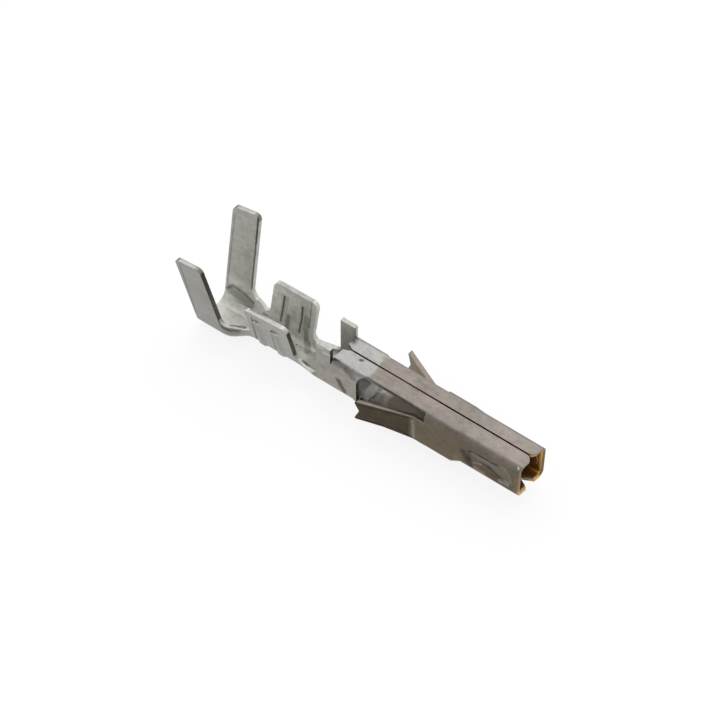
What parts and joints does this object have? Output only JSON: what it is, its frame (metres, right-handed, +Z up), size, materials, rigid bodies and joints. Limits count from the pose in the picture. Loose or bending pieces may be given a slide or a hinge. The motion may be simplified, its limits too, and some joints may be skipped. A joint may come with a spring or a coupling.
{
  "type": "crimp socket contact",
  "caption": "Stamped and folded crimp socket contact: open wire and insulation barrels, a boxed socket with spring beams, and side lances that lock it in a housing.",
  "frame": {"origin": "middle of the mating mouth, on the axis of the pin that the socket takes", "axes": "+X along the contact, out of the mating mouth; +Z up, out of the open crimp barrels"},
  "size_m": [0.0207, 0.0057, 0.0066],
  "materials": {
    "plated_strip": "tin-plated copper alloy strip, gold-plated inside the socket's mouth"
  },
  "bodies": {
    "root": {"socket_contact": "plated_strip"}
  },
  "joints": []
}
